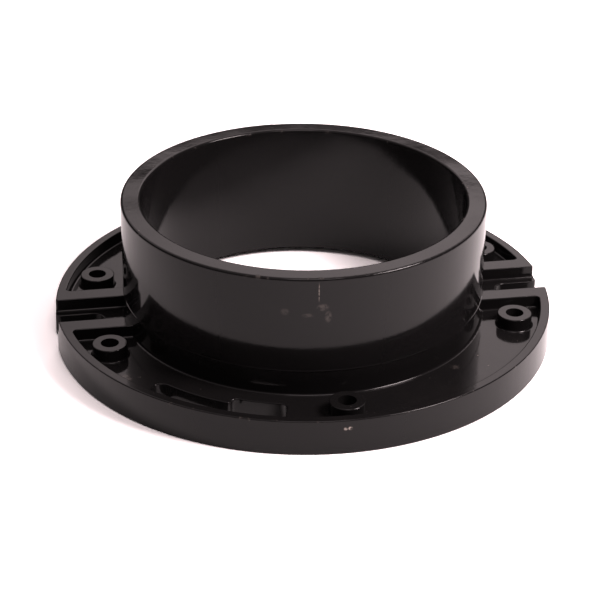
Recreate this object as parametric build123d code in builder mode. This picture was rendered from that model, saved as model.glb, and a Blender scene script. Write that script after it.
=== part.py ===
"""Closet flange for a four inch drain pipe, moulded in one piece from black ABS.

It lies on its flat face, as it was photographed, with the pipe hub standing up.
The origin is the centre of the face, +Z runs up the hub and the two open bolt
notches lie on the X axis. Lengths are in millimetres and angles in degrees.
"""
import os
from math import cos, degrees, hypot, radians, sin, sqrt, tan

from build123d import *

# Flange, seen from its back: a thick plate inside a raised rim. Its width is measured
# from the hub's wall, and makes it seven inches across on this pipe.
flange_width = 24.5
plate_thickness = 8.1
rim_height = 12.55
rim_wall = 3.4
rim_draft = 1.2

# Hub, which the pipe is cemented into.
pipe_diameter = 114.3
pipe_clearance = 0.2
hub_wall = 7.05
hub_height = 51.8
mouth_rounding = 1.0
parting_height = 17.3
parting_width = 0.7
parting_depth = 0.12

# Shallow bevel where the bore opens in the face, for the wax ring.
bevel_depth = 2.6
bevel_width = 6.4

# Open bolt notches, each in a channel between two straight ribs. The gap to the hub
# puts the closet bolts on the usual six inch circle.
notch_hub_gap = 7.3
notch_width = 9.0
mouth_radius = 2.0
channel_width = 15.9
channel_mouth_rounding = 0.8
rib_width = 6.8

# Curved bolt tracks, narrow for the shank, with a wide entry for the head. The track
# meets its entry at the step.
track_width = 7.0
track_length = 25.0
step_angle = -119.0
step_depth = 3.5
step_flat = 0.4
step_rounding = 0.7
entry_length = 20.5
entry_rim_gap = 0.94

# Screw bosses, two beside each notch and one on each side between.
screw_hole_diameter = 6.3
boss_diameter = 12.3
boss_rise = 0.2
boss_rim_gap = 2.64
corner_screw_angle = 20.0
side_screw_angle = -88.7

# Radii that the mould leaves on the edges.
foot_rounding = 0.8
corner_rounding = 1.5
top_rounding = 0.45
slot_rounding = 0.4
face_rounding = 0.5

# How near to a place an edge has to lie to be taken as there.
reach = 0.01

# Sizes that follow from the ones above.
bore_radius = pipe_diameter / 2 + pipe_clearance
hub_radius = bore_radius + hub_wall
hub_middle_radius = bore_radius + hub_wall / 2
parting_radius = hub_radius + parting_depth
flange_radius = hub_radius + flange_width
rim_top_radius = flange_radius - rim_height * tan(radians(rim_draft))
rim_inner_radius = rim_top_radius - rim_wall
rim_middle_radius = rim_top_radius - rim_wall / 2
pocket_middle_radius = (hub_radius + rim_inner_radius) / 2
pocket_depth = rim_height - plate_thickness
rib_centre = (channel_width + rib_width) / 2
rib_side = channel_width / 2 + rib_width
bolt_radius = hub_radius + notch_hub_gap + notch_width / 2
mouth_place = sqrt(flange_radius**2 - (notch_width / 2) ** 2)
screw_radius = rim_inner_radius - boss_rim_gap - boss_diameter / 2
entry_outer_radius = rim_inner_radius - entry_rim_gap
track_radius = entry_outer_radius - step_depth - track_width / 2
entry_inner_radius = track_radius - track_width / 2 - step_depth
entry_rounding = step_depth - step_flat - step_rounding
entry_sweep = degrees(entry_length / track_radius)
track_sweep = degrees(track_length / track_radius)

# The two screws beside the right notch, the two beside the left one, then the sides.
screw_angles = [
    corner_screw_angle,
    -corner_screw_angle,
    180 - corner_screw_angle,
    180 + corner_screw_angle,
    side_screw_angle,
    side_screw_angle + 180,
]
screw_points = [
    (screw_radius * cos(radians(angle)), screw_radius * sin(radians(angle)))
    for angle in screw_angles
]


def from_axis(edge):
    """Distance of an edge's middle from the hub's axis."""
    return hypot(edge.center().X, edge.center().Y)


def upright_edges(side):
    """The upright edges in the two planes that lie the given distance from the X axis."""
    upright = edges().filter_by(lambda edge: edge.bounding_box().size.Z > edge.length - reach)
    return upright.filter_by(lambda edge: abs(abs(edge.center().Y) - side) < reach)


with BuildPart() as closet_flange:
    # Plate, rim and hub are one turned section.
    with BuildSketch(Plane.XZ):
        with BuildLine():
            Polyline(
                (bore_radius + bevel_width, 0),
                (flange_radius, 0),
                (rim_top_radius, rim_height),
                (rim_inner_radius, rim_height),
                (rim_inner_radius, plate_thickness),
                (hub_radius, plate_thickness),
                (hub_radius, parting_height - parting_width / 2),
                (parting_radius, parting_height - parting_depth),
                (parting_radius, parting_height + parting_depth),
                (hub_radius, parting_height + parting_width / 2),
                (hub_radius, hub_height),
                (bore_radius, hub_height),
                (bore_radius, bevel_depth),
                close=True,
            )
        make_face()
    revolve(axis=Axis.Z)

    # Four ribs run from the hub to the rim, one along each side of a channel.
    with BuildSketch(Plane.XY.offset(plate_thickness)):
        with GridLocations(2 * flange_radius, 2 * rib_centre, 2, 2):
            Rectangle(2 * (flange_radius - hub_middle_radius), rib_width)
        Circle(rim_middle_radius, mode=Mode.INTERSECT)
    extrude(amount=pocket_depth)

    # The channels break out through the rim.
    with BuildSketch(Plane.XY.offset(plate_thickness)):
        with GridLocations(2 * flange_radius, 0, 2, 1):
            Rectangle(2 * (flange_radius - rim_inner_radius + corner_rounding), channel_width)
    extrude(amount=pocket_depth, mode=Mode.SUBTRACT)

    # Screw bosses stand in the pockets, a little above the rim.
    with BuildSketch(Plane.XY.offset(plate_thickness)):
        with Locations(*screw_points):
            Circle(boss_diameter / 2)
    extrude(amount=pocket_depth + boss_rise)

    # Upright corners of the pockets at the rim, and of the channel mouths.
    pocket_corners = upright_edges(rib_side).filter_by(lambda edge: from_axis(edge) > pocket_middle_radius)
    fillet(pocket_corners, corner_rounding)
    mouth_corners = upright_edges(channel_width / 2).filter_by(lambda edge: from_axis(edge) > rim_inner_radius)
    fillet(mouth_corners, channel_mouth_rounding)

    # Every wall that rises from the plate has a small radius at its foot.
    feet = edges().filter_by_position(Axis.Z, plate_thickness, plate_thickness)
    fillet(feet.filter_by(lambda edge: from_axis(edge) < rim_inner_radius + reach), foot_rounding)

    # Open notches, round at their inner ends.
    with BuildSketch():
        with GridLocations(2 * flange_radius, 0, 2, 1):
            Rectangle(2 * (flange_radius - bolt_radius), notch_width)
        with GridLocations(2 * bolt_radius, 0, 2, 1):
            Circle(notch_width / 2)
    extrude(amount=plate_thickness, mode=Mode.SUBTRACT)
    notch_tops = edges(Select.LAST).group_by(Axis.Z)[-1]
    fillet(notch_tops.filter_by(lambda edge: from_axis(edge) < rim_top_radius), slot_rounding)

    # The notches' corners are rounded off where they open in the rim.
    with BuildSketch():
        with GridLocations(2 * mouth_place - mouth_radius, notch_width + mouth_radius, 2, 2):
            Rectangle(mouth_radius, mouth_radius)
        with GridLocations(2 * (mouth_place - mouth_radius), notch_width + 2 * mouth_radius, 2, 2):
            Circle(mouth_radius, mode=Mode.SUBTRACT)
    extrude(amount=plate_thickness, mode=Mode.SUBTRACT)

    # Curved tracks in two opposite quarters.
    for turn in (0, 180):
        with BuildSketch():
            with BuildLine():
                inner = CenterArc((0, 0), entry_inner_radius, step_angle + turn, entry_sweep)
                outer = CenterArc((0, 0), entry_outer_radius, step_angle + turn, entry_sweep)
                Line(inner @ 0, outer @ 0)
                Line(inner @ 1, outer @ 1)
            make_face()
            fillet(vertices(), entry_rounding)
            middle = step_angle + turn + entry_sweep / 2
            SlotArc(CenterArc((0, 0), track_radius, middle, -track_sweep - entry_sweep / 2), track_width)
            for side in (-1, 1):
                step = Vector(track_radius + side * track_width / 2, 0).rotate(Axis.Z, step_angle + turn)
                fillet(vertices().sort_by_distance(step)[0], step_rounding)
        extrude(amount=plate_thickness, mode=Mode.SUBTRACT)
        fillet(edges(Select.LAST).group_by(Axis.Z)[-1], slot_rounding)

    # Screw holes go right through.
    with Locations(*screw_points):
        Hole(screw_hole_diameter / 2)

    # Soft edges round the tops of the ribs, the rim and the bosses.
    rim_tops = edges().filter_by_position(Axis.Z, rim_height, rim_height)
    fillet(rim_tops.filter_by(lambda edge: from_axis(edge) > hub_radius + reach), top_rounding)
    boss_tops = edges().filter_by_position(Axis.Z, rim_height + boss_rise, rim_height + boss_rise)
    fillet(boss_tops.filter_by(lambda edge: edge.radius > screw_hole_diameter / 2 + reach), top_rounding)

    # Hub mouth, and the outside of the face.
    fillet(edges().filter_by_position(Axis.Z, hub_height, hub_height), mouth_rounding)
    face_edges = edges().filter_by_position(Axis.Z, 0, 0)
    fillet(face_edges.filter_by(lambda edge: from_axis(edge) > rim_inner_radius), face_rounding)

closet_flange.part.label = "closet_flange"
os.makedirs("parts", exist_ok=True)
export_step(closet_flange.part, "parts/closet_flange.step")
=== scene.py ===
"""Studio picture of a closet flange moulded in black ABS, lying on its face with the pipe hub up."""

import math

import bpy
import numpy as np
from mathutils import Matrix, Vector


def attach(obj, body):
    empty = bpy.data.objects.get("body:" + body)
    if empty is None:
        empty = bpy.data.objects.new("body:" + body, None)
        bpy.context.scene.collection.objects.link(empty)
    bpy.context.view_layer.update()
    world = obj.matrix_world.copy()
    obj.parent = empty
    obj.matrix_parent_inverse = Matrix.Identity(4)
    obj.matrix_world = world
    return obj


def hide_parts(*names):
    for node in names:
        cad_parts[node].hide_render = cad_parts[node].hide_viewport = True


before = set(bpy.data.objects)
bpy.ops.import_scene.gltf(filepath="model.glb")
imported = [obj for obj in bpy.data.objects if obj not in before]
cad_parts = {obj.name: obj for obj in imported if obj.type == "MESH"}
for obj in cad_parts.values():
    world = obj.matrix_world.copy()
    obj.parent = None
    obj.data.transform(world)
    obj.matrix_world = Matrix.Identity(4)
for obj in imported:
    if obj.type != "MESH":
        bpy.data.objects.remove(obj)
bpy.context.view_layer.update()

# Camera: where it stands round the flange, how it is turned off the flange's centre, and its lens.
CAMERA_DISTANCE = 0.73908
CAMERA_AZIMUTH = -10.05
CAMERA_ELEVATION = 28.7645
CAMERA_PAN = -0.0729
CAMERA_TILT = 0.6699
CAMERA_ROLL = 0.6107
CAMERA_LENS = 121.93
CAMERA_RANGE = (0.01, 20.0)
SENSOR_WIDTH = 36.0

# Room round the table, which is dim. The limits are parts of a direction that is one long. The ceiling grows
# brighter upwards. A pale wall at the back starts a little above the table, on a slight slope, and is
# brighter on the right.
ROOM_COLOUR = (1.0, 0.86, 0.87)
ROOM_STRENGTH = 0.05
CEILING_HEIGHTS = (0.35, 0.95)
CEILING_STRENGTHS = (0.0, 0.5)
WALL_BACK = (0.2, 0.7)
WALL_FOOT = (0.406, 0.424)
WALL_SLOPE = 0.04
WALL_SIDES = (-0.1, 0.3)
WALL_STRENGTHS = (0.9, 1.9)

# Softboxes: the key close on the right, and a weak fill above the front.
SOFTBOX_AIM = (0.0, 0.0, 0.02)
KEY_PLACE = (0.32, -0.2, 0.42)
KEY_SIZE = 0.19
KEY_POWER = 3.6
FILL_PLACE = (0.0, -0.32, 0.75)
FILL_SIZE = 0.3
FILL_POWER = 1.0

# White table. The camera sees it doubled, as overexposed, and all else sees this share more than plain white.
TABLE_SIZE = 12.0
TABLE_COLOUR = (0.9, 0.9, 0.9, 1)
TABLE_ROUGHNESS = 0.6
TABLE_GLARE = 0.3

# Sizes of the flange, in metres and degrees.
FLANGE_RADIUS = 0.0889
PLATE_THICKNESS = 0.0081
RIM_HEIGHT = 0.01255
RIM_WALL = 0.0034
RIM_DRAFT = math.radians(1.2)
BORE_RADIUS = 0.05735
HUB_RADIUS = 0.0644
HUB_HEIGHT = 0.0518
BOSS_RADIUS = 0.00615
BOSS_RISE = 0.0002
BOSS_RIM_GAP = 0.00264
CORNER_SCREW_ANGLE = 20.0
SIDE_SCREW_ANGLE = -88.7
MOUTH_ROUNDING = 0.001
FOOT_ROUNDING = 0.0008
TOP_ROUNDING = 0.00045

# Sizes that follow from those: radii of the rim and of the screws' circle, and the screws' angles.
RIM_TOP_RADIUS = FLANGE_RADIUS - RIM_HEIGHT * math.tan(RIM_DRAFT)
RIM_INNER_RADIUS = RIM_TOP_RADIUS - RIM_WALL
SCREW_RADIUS = RIM_INNER_RADIUS - BOSS_RIM_GAP - BOSS_RADIUS
SCREW_ANGLES = (
    CORNER_SCREW_ANGLE,
    -CORNER_SCREW_ANGLE,
    180 - CORNER_SCREW_ANGLE,
    180 + CORNER_SCREW_ANGLE,
    SIDE_SCREW_ANGLE,
    SIDE_SCREW_ANGLE + 180,
)

# How near to a round form a surface has to lie to be taken as part of it, as a distance and as a cosine, and
# how upright its normal has to be to be taken as level.
SAME_PLACE = 0.000003
SAME_WAY = math.cos(math.radians(3.5))
LEVEL_COSINE = 0.999999

# Black plastic: its colour, its gloss, and how rough it is, at least, in dull patches and where it is worn.
ABS_COLOUR = (0.0068, 0.0065, 0.0066, 1)
ABS_SPECULAR = 0.2
ABS_ROUGHNESS = 0.065
PATCH_ROUGHNESS = 0.04
WORN_ROUGHNESS = 0.35

# Relief of its skin: scale per metre, detail, scale upwards and depth. The streaks run up the walls.
WAVES = (38.0, 1.0, 1.0, 0.00022)
STREAKS = (330.0, 2.0, 0.03, 0.000022)
GRAIN = (1500.0, 2.0, 1.0, 0.000007)
RUB_DEPTH = 0.00004

# Patterns on it: scale per metre and detail, and between which values each shows.
PATCHES = (70.0, 4.0)
PATCH_SHIFT = (0.3, 0.1, 0.0)
DULL_PATCHES = (0.3, 0.7)
FILM_PATCHES = (0.4, 0.75)
RUBS = (420.0, 5.0)
RUB_LIMITS = (0.6, 0.74)
SPECKS = (640.0, 1.0)
SPECK_LIMITS = (0.77, 0.83)
MARK_TEXTURE = (900.0, 3.0)
MARK_LIMITS = (0.3, 0.6)

# Dust: its colour, how level a face has to be to hold it, and how strongly each kind of wear shows it.
DUST_COLOUR = (0.55, 0.47, 0.42, 1)
DUSTY_SLOPE = (0.8, 0.98)
RUB_PALENESS = 0.06
SPECK_PALENESS = 0.25
FILM_PALENESS = 0.002

# Rubbed circles round the axis, on the rounded edges of the hub's mouth and of the rim: radius and height.
# The rub fades with the distance from them.
MOUTH_WEAR = 0.3 * MOUTH_ROUNDING
RIM_WEAR = 0.00017
WORN_RINGS = (
    (HUB_RADIUS - MOUTH_WEAR, HUB_HEIGHT - MOUTH_WEAR),
    (BORE_RADIUS + MOUTH_WEAR, HUB_HEIGHT - MOUTH_WEAR),
    (RIM_TOP_RADIUS - RIM_WEAR, RIM_HEIGHT - RIM_WEAR),
)
WORN_WIDTH = (0.0011, 0.0002)

# Marks: place, half sizes and strength of a scratch and scuffs on the hub's front, a chip in two parts on the
# rim, and pale patches on the pockets' floor. Each fades from its middle part to its edge.
MARKS = (
    ((-0.0059, -0.0641, 0.0469), (0.00022, 0.001, 0.0042), 0.4),
    ((-0.0046, -0.0642, 0.0413), (0.0024, 0.002, 0.0016), 0.1),
    ((-0.0028, -0.0643, 0.0378), (0.0014, 0.002, 0.0026), 0.09),
    ((-0.0169, -0.0622, 0.0396), (0.0018, 0.002, 0.0016), 0.05),
    ((-0.0095, -0.0637, 0.0384), (0.0024, 0.002, 0.001), 0.06),
    ((-0.0011, -0.0888, 0.0094), (0.0009, 0.001, 0.0007), 0.6),
    ((0.0005, -0.0888, 0.0095), (0.0009, 0.001, 0.0008), 0.9),
    ((-0.0684, -0.0436, 0.0081), (0.003, 0.0044, 0.001), 0.07),
    ((0.0439, -0.0528, 0.0081), (0.002, 0.002, 0.001), 0.04),
)
MARK_FADE = (1.0, 0.4)


def photographers_camera():
    """The camera at the photograph's angle. It aims at the centre of the face, then pans, tilts and rolls."""
    elevation = math.radians(CAMERA_ELEVATION)
    place = Vector((0, -math.cos(elevation), math.sin(elevation))) * CAMERA_DISTANCE
    ahead = -place.normalized()
    right = Vector((1, 0, 0))
    up = right.cross(ahead)
    pan, tilt, roll = (math.radians(angle) for angle in (CAMERA_PAN, CAMERA_TILT, CAMERA_ROLL))
    ahead, right = (
        ahead * math.cos(pan) + right * math.sin(pan),
        right * math.cos(pan) - ahead * math.sin(pan),
    )
    ahead, up = (
        ahead * math.cos(tilt) + up * math.sin(tilt),
        up * math.cos(tilt) - ahead * math.sin(tilt),
    )
    right, up = (
        right * math.cos(roll) + up * math.sin(roll),
        up * math.cos(roll) - right * math.sin(roll),
    )
    stand = Matrix((right, up, -ahead)).transposed().to_4x4()
    stand.translation = place
    camera = bpy.data.objects.new("camera", bpy.data.cameras.new("camera"))
    camera.data.lens = CAMERA_LENS
    camera.data.sensor_width = SENSOR_WIDTH
    camera.data.clip_start, camera.data.clip_end = CAMERA_RANGE
    camera.matrix_world = Matrix.Rotation(math.radians(CAMERA_AZIMUTH), 4, "Z") @ stand
    bpy.context.scene.collection.objects.link(camera)
    bpy.context.scene.camera = camera


def new_material(name):
    """An empty node material: its tree, and its Principled shader joined to the output."""
    material = bpy.data.materials.new(name)
    material.use_nodes = True
    tree = material.node_tree
    shader = next(node for node in tree.nodes if node.type == "BSDF_PRINCIPLED")
    return material, tree, shader


def joined(tree, kind, settings, **inputs):
    """A new node with its settings. Each input, by its name or as _ and its number, is given a value, or the
    output that feeds it."""
    made = tree.nodes.new(kind)
    for name, value in settings.items():
        setattr(made, name, value)
    for name, value in inputs.items():
        socket = made.inputs[int(name[1:])] if name[0] == "_" else made.inputs[name.replace("_", " ")]
        if isinstance(value, bpy.types.NodeSocket):
            tree.links.new(value, socket)
        else:
            socket.default_value = value
    return made


def math_of(tree, operation, *values):
    """The result of one sum on numbers or outputs."""
    inputs = {f"_{number}": value for number, value in enumerate(values)}
    return joined(tree, "ShaderNodeMath", {"operation": operation}, **inputs).outputs[0]


def vector_math_of(tree, operation, *values):
    """The outputs of one sum on vectors: a Vector or a Value."""
    inputs = {f"_{number}": value for number, value in enumerate(values)}
    return joined(tree, "ShaderNodeVectorMath", {"operation": operation}, **inputs).outputs


def ramp(tree, value, start, stop, low=0.0, high=1.0):
    """A smooth change from low to high while the value goes from start to stop."""
    settings = {"interpolation_type": "SMOOTHSTEP", "clamp": True}
    ranges = {"_0": value, "_1": start, "_2": stop, "_3": low, "_4": high}
    return joined(tree, "ShaderNodeMapRange", settings, **ranges).outputs[0]


def noise(tree, place, scale, detail, upward=1.0, shift=(0, 0, 0)):
    """Noise of a scale per metre, with its own scale upwards, on places that may be shifted first."""
    moved = joined(tree, "ShaderNodeMapping", {}, Vector=place, Scale=(1, 1, upward), Location=shift)
    spots = joined(tree, "ShaderNodeTexNoise", {}, Vector=moved.outputs[0], Scale=scale, Detail=detail)
    return spots.outputs[0]


def broken_up(tree, mask, place, pattern, limits):
    """A mask that shows only where a noise pattern is high."""
    return math_of(tree, "MULTIPLY", mask, ramp(tree, noise(tree, place, *pattern), *limits))


def room():
    """The dim room, with its ceiling and the pale wall behind the table."""
    world = bpy.data.worlds.new("studio_room")
    world.use_nodes = True
    tree = world.node_tree
    way = joined(tree, "ShaderNodeTexCoord", {}).outputs["Generated"]
    right, back, up = joined(tree, "ShaderNodeSeparateXYZ", {}, Vector=way).outputs
    foot = ramp(tree, math_of(tree, "MULTIPLY_ADD", right, WALL_SLOPE, up), *WALL_FOOT)
    wall = math_of(tree, "MULTIPLY", ramp(tree, back, *WALL_BACK), foot)
    brightness = ramp(tree, right, *WALL_SIDES, *WALL_STRENGTHS)
    ceiling = ramp(tree, up, *CEILING_HEIGHTS, *CEILING_STRENGTHS)
    around = math_of(tree, "ADD", ceiling, ROOM_STRENGTH)
    background = tree.nodes["Background"]
    background.inputs["Color"].default_value = (*ROOM_COLOUR, 1)
    tree.links.new(math_of(tree, "MULTIPLY_ADD", wall, brightness, around), background.inputs["Strength"])
    bpy.context.scene.world = world
    bpy.context.scene.view_settings.view_transform = "Standard"


def softbox(name, place, size, power):
    """One square studio light in the room's colour, turned to face the flange."""
    lamp = bpy.data.lights.new(name, "AREA")
    lamp.size = size
    lamp.energy = power
    lamp.color = ROOM_COLOUR
    light = bpy.data.objects.new(name, lamp)
    light.location = place
    light.rotation_euler = (Vector(SOFTBOX_AIM) - Vector(place)).to_track_quat("-Z", "Y").to_euler()
    bpy.context.scene.collection.objects.link(light)


def white_table():
    """The white table that the flange lies on, brighter to the camera than to the flange."""
    material, tree, shader = new_material("white_table")
    shader.inputs["Base Color"].default_value = TABLE_COLOUR
    shader.inputs["Roughness"].default_value = TABLE_ROUGHNESS
    plain = shader.outputs[0]
    doubled = joined(tree, "ShaderNodeAddShader", {}, _0=plain, _1=plain).outputs[0]
    to_camera = joined(tree, "ShaderNodeLightPath", {}).outputs["Is Camera Ray"]
    glare = math_of(tree, "MAXIMUM", to_camera, TABLE_GLARE)
    seen = joined(tree, "ShaderNodeMixShader", {}, _0=glare, _1=plain, _2=doubled).outputs[0]
    output = next(node for node in tree.nodes if node.type == "OUTPUT_MATERIAL")
    tree.links.new(seen, output.inputs["Surface"])
    bpy.ops.mesh.primitive_plane_add(size=TABLE_SIZE)
    table = bpy.context.object
    table.name = "white_table"
    table.data.materials.append(material)


def edge_rub(tree, place):
    """Where the edges of the hub's mouth and of the rim are rubbed, in broken lines."""
    radius = vector_math_of(tree, "LENGTH", vector_math_of(tree, "MULTIPLY", place, (1, 1, 0))[0])["Value"]
    height = joined(tree, "ShaderNodeSeparateXYZ", {}, Vector=place).outputs["Z"]
    section = joined(tree, "ShaderNodeCombineXYZ", {}, X=radius, Y=height).outputs[0]
    rub = 0.0
    for ring in WORN_RINGS:
        distance = vector_math_of(tree, "DISTANCE", section, (*ring, 0))["Value"]
        rub = math_of(tree, "MAXIMUM", rub, ramp(tree, distance, *WORN_WIDTH))
    return broken_up(tree, rub, place, RUBS, RUB_LIMITS)


def small_marks(tree, place):
    """The scratch, the scuffs, the chip and the pale patches, each with its own strength."""
    marks = 0.0
    for middle, half_sizes, strength in MARKS:
        moved = vector_math_of(tree, "SUBTRACT", place, middle)[0]
        shaped = vector_math_of(tree, "DIVIDE", moved, half_sizes)[0]
        reach = vector_math_of(tree, "LENGTH", shaped)["Value"]
        marks = math_of(tree, "MAXIMUM", marks, ramp(tree, reach, *MARK_FADE, 0.0, strength))
    return broken_up(tree, marks, place, MARK_TEXTURE, MARK_LIMITS)


def black_abs():
    """Glossy black ABS, a little wavy, with flow streaks up its walls, rubbed edges, dust and marks."""
    material, tree, shader = new_material("black_abs")
    place = joined(tree, "ShaderNodeTexCoord", {}).outputs["Object"]
    normal = joined(tree, "ShaderNodeNewGeometry", {}).outputs["Normal"]
    upward = joined(tree, "ShaderNodeSeparateXYZ", {}, Vector=normal).outputs["Z"]
    level = ramp(tree, upward, *DUSTY_SLOPE)
    patches = noise(tree, place, *PATCHES, shift=PATCH_SHIFT)
    rub = edge_rub(tree, place)
    marks = small_marks(tree, place)
    specks = broken_up(tree, level, place, SPECKS, SPECK_LIMITS)
    film = math_of(tree, "MULTIPLY", level, ramp(tree, patches, *FILM_PATCHES))

    pale_rub = math_of(tree, "MULTIPLY", rub, RUB_PALENESS)
    pale_specks = math_of(tree, "MULTIPLY", specks, SPECK_PALENESS)
    pale = math_of(tree, "MAXIMUM", marks, math_of(tree, "MAXIMUM", pale_rub, pale_specks))
    pale = math_of(tree, "MULTIPLY_ADD", film, FILM_PALENESS, pale)
    colour = joined(tree, "ShaderNodeMix", {"data_type": "RGBA"}, _0=pale, _6=ABS_COLOUR, _7=DUST_COLOUR)
    tree.links.new(colour.outputs[2], shader.inputs["Base Color"])

    dull = math_of(tree, "MULTIPLY_ADD", ramp(tree, patches, *DULL_PATCHES), PATCH_ROUGHNESS, ABS_ROUGHNESS)
    worn = math_of(tree, "MAXIMUM", rub, math_of(tree, "MAXIMUM", specks, marks))
    rough = math_of(tree, "MULTIPLY_ADD", worn, WORN_ROUGHNESS, dull)
    tree.links.new(rough, shader.inputs["Roughness"])
    shader.inputs["Specular IOR Level"].default_value = ABS_SPECULAR

    relief = [(noise(tree, place, *pattern), depth) for *pattern, depth in (WAVES, STREAKS, GRAIN)]
    skin = None
    for height, depth in relief + [(rub, RUB_DEPTH)]:
        bump = joined(tree, "ShaderNodeBump", {}, Strength=1.0, Distance=depth, Height=height)
        if skin:
            tree.links.new(skin, bump.inputs["Normal"])
        skin = bump.outputs[0]
    tree.links.new(skin, shader.inputs["Normal"])
    return material


def rounded_edges():
    """Every rounded edge that runs round an upright axis: the place of the axis, the radius and the height of
    the circle that its centres lie on, and its own radius."""
    mouth_height = HUB_HEIGHT - MOUTH_ROUNDING
    foot_height = PLATE_THICKNESS + FOOT_ROUNDING
    rim_height = RIM_HEIGHT - TOP_ROUNDING
    rim_side = FLANGE_RADIUS - rim_height * math.tan(RIM_DRAFT)
    middle = (0.0, 0.0)
    edges = [
        (middle, HUB_RADIUS - MOUTH_ROUNDING, mouth_height, MOUTH_ROUNDING),
        (middle, BORE_RADIUS + MOUTH_ROUNDING, mouth_height, MOUTH_ROUNDING),
        (middle, HUB_RADIUS + FOOT_ROUNDING, foot_height, FOOT_ROUNDING),
        (middle, RIM_INNER_RADIUS - FOOT_ROUNDING, foot_height, FOOT_ROUNDING),
        (middle, RIM_INNER_RADIUS + TOP_ROUNDING, rim_height, TOP_ROUNDING),
        (middle, rim_side - TOP_ROUNDING / math.cos(RIM_DRAFT), rim_height, TOP_ROUNDING),
    ]
    for angle in SCREW_ANGLES:
        screw = (SCREW_RADIUS * math.cos(math.radians(angle)), SCREW_RADIUS * math.sin(math.radians(angle)))
        edges.append((screw, BOSS_RADIUS + FOOT_ROUNDING, foot_height, FOOT_ROUNDING))
        edges.append((screw, BOSS_RADIUS - TOP_ROUNDING, rim_height + BOSS_RISE, TOP_ROUNDING))
    return edges


def unit(vectors):
    """The same directions, each one long."""
    return vectors / np.maximum(np.linalg.norm(vectors, axis=-1, keepdims=True), 1e-12)


def from_axis(places, axis):
    """How places lie to an upright axis: the level way out from it, and the distance."""
    out = places[..., :2] - np.array(axis)
    distance = np.linalg.norm(out, axis=-1)
    return unit(out), distance


def agreement(normals, facing):
    """Cosine between the middle of each triangle's corner normals and the way that the triangle faces."""
    return np.sum(unit(normals.mean(axis=1)) * facing, axis=1)


def corner_arrays(mesh):
    """The places and the normals of the corners of each triangle in a mesh."""
    points = np.zeros(len(mesh.vertices) * 3)
    mesh.vertices.foreach_get("co", points)
    corners = np.zeros(len(mesh.loops), int)
    mesh.loops.foreach_get("vertex_index", corners)
    normals = np.zeros(len(mesh.loops) * 3)
    mesh.corner_normals.foreach_get("vector", normals)
    return points.reshape(-1, 3)[corners].reshape(-1, 3, 3), normals.reshape(-1, 3, 3)


def level_faces(normals, facing):
    """Gives level faces an upright normal, and tells which they are."""
    level = np.abs(facing[:, 2]) > LEVEL_COSINE
    normals[level] = np.round(facing[level])[:, None, :]
    return level


def smooth_rounding(places, normals, facing, level, edge):
    """Gives the triangles of one rounded edge the normals of its true round section."""
    axis, radius, height, rounding = edge
    way, distance = from_axis(places, axis)
    outward = distance - radius
    upward = places[..., 2] - height
    on_edge = np.abs(np.hypot(outward, upward) - rounding) < SAME_PLACE
    chosen = np.all(on_edge, axis=1) & ~level
    true = unit(np.concatenate([way * outward[..., None], upward[..., None]], axis=-1)[chosen])
    normals[chosen] = true * np.sign(agreement(true, facing[chosen]))[:, None, None]


def smooth_wall(places, normals, facing, axis, draft):
    """Gives the round walls with one draft round an axis the normals of a true cylinder or cone."""
    way, distance = from_axis(places, axis)
    lean = np.full_like(distance, math.sin(draft))[..., None]
    true = np.concatenate([way * math.cos(draft), lean], axis=-1)
    match = agreement(true, facing)
    foot_radius = distance + places[..., 2] * math.tan(draft)
    chosen = (np.ptp(foot_radius, axis=1) < SAME_PLACE) & (np.abs(match) > SAME_WAY)
    normals[chosen] = true[chosen] * np.sign(match[chosen])[:, None, None]


def smooth_copy(solid, name):
    """A copy of a CAD solid's surface, shaded true to its level faces, rounded edges and round walls."""
    mesh = solid.data.copy()
    mesh.name = name
    mesh.materials.clear()
    places, normals = corner_arrays(mesh)
    facing = unit(np.cross(places[:, 1] - places[:, 0], places[:, 2] - places[:, 0]))
    level = level_faces(normals, facing)
    edges = rounded_edges()
    for edge in edges:
        smooth_rounding(places, normals, facing, level, edge)
    for axis in sorted({edge[0] for edge in edges}):
        for draft in (0.0, RIM_DRAFT):
            smooth_wall(places, normals, facing, axis, draft)
    mesh.normals_split_custom_set(unit(normals).reshape(-1, 3).tolist())
    piece = bpy.data.objects.new(name, mesh)
    bpy.context.scene.collection.objects.link(piece)
    return piece


photographers_camera()
room()
softbox("key_softbox", KEY_PLACE, KEY_SIZE, KEY_POWER)
softbox("fill_softbox", FILL_PLACE, FILL_SIZE, FILL_POWER)
white_table()

flange = smooth_copy(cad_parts["closet_flange"], "moulded_flange")
flange.data.materials.append(black_abs())
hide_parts("closet_flange")
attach(flange, "root")
